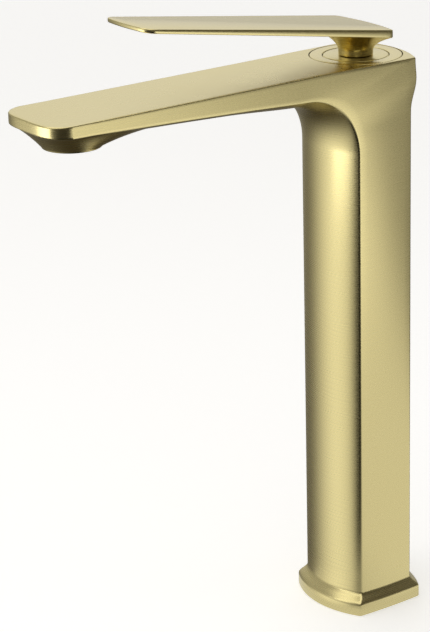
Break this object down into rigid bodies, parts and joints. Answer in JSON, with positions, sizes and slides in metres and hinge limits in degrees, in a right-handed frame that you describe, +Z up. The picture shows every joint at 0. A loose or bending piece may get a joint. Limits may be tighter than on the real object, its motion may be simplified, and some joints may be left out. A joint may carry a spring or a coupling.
{
  "type": "tall basin mixer faucet",
  "caption": "Tall single-lever basin mixer: bowed square column on a flared foot, long flat spout with a round outlet, and a flat lever plate on a short round stem.",
  "frame": {"origin": "centre of the base's underside on the column's axis, at the level of the deck it stands on", "axes": "+Z up the column, -Y along the spout towards the outlet, +X to the right seen from in front of the outlet looking back (hot side at -X by choice of handing)"},
  "size_m": [0.0506, 0.2016, 0.303],
  "materials": {
    "brushed_gold": "satin brushed gold plating on cast brass",
    "plain_brass": "machined brass, unplated",
    "stainless_steel": "plain stainless steel",
    "white_plastic": "moulded white plastic",
    "grey_plastic": "moulded grey plastic",
    "ceramic": "lapped white alumina ceramic",
    "black_rubber": "moulded black rubber"
  },
  "bodies": {
    "fixed_body": {"body": "brushed_gold", "mounting_plate": "plain_brass", "plate_screw_front": "stainless_steel", "plate_screw_back": "stainless_steel", "base_gasket": "black_rubber", "cap_ring": "brushed_gold", "cap_ring_o_ring": "black_rubber", "clamp_nut": "plain_brass", "temperature_limit_ring": "grey_plastic", "cartridge_casing": "white_plastic", "cartridge_base": "grey_plastic", "inlet_seal_left": "black_rubber", "inlet_seal_right": "black_rubber", "outlet_seal": "black_rubber", "disc_seal": "black_rubber", "fixed_disc": "ceramic", "aerator_housing": "brushed_gold", "aerator_insert": "white_plastic", "flow_regulator": "grey_plastic", "aerator_seal": "black_rubber"},
    "cartridge_rotor": {"rotor": "grey_plastic", "pivot_pin": "stainless_steel"},
    "lever_assembly": {"lever": "brushed_gold", "spindle": "stainless_steel", "ball_cap": "brushed_gold", "ball_cap_retainer": "plain_brass", "set_screw": "stainless_steel", "screw_cover_plug": "brushed_gold"},
    "disc_shuttle": {"disc_carrier": "grey_plastic", "sliding_disc": "ceramic"}
  },
  "joints": [
    {"name": "temperature", "type": "hinge", "parent": "fixed_body", "child": "cartridge_rotor", "pos_m": [0, 0, 0.258], "axis": [0, 0, 1], "range_deg": [-45, 45]},
    {"name": "flow", "type": "hinge", "parent": "cartridge_rotor", "child": "lever_assembly", "pos_m": [0, 0, 0.258], "axis": [-1, 0, 0], "range_deg": [0, 22]},
    {"name": "disc_slide", "type": "slide", "parent": "cartridge_rotor", "child": "disc_shuttle", "axis": [0, -1, 0], "range_m": [0, 0.0046]}
  ],
  "couplings": [
    {"joint": "disc_slide", "follows": "flow", "m_per_rad": 0.0117}
  ]
}
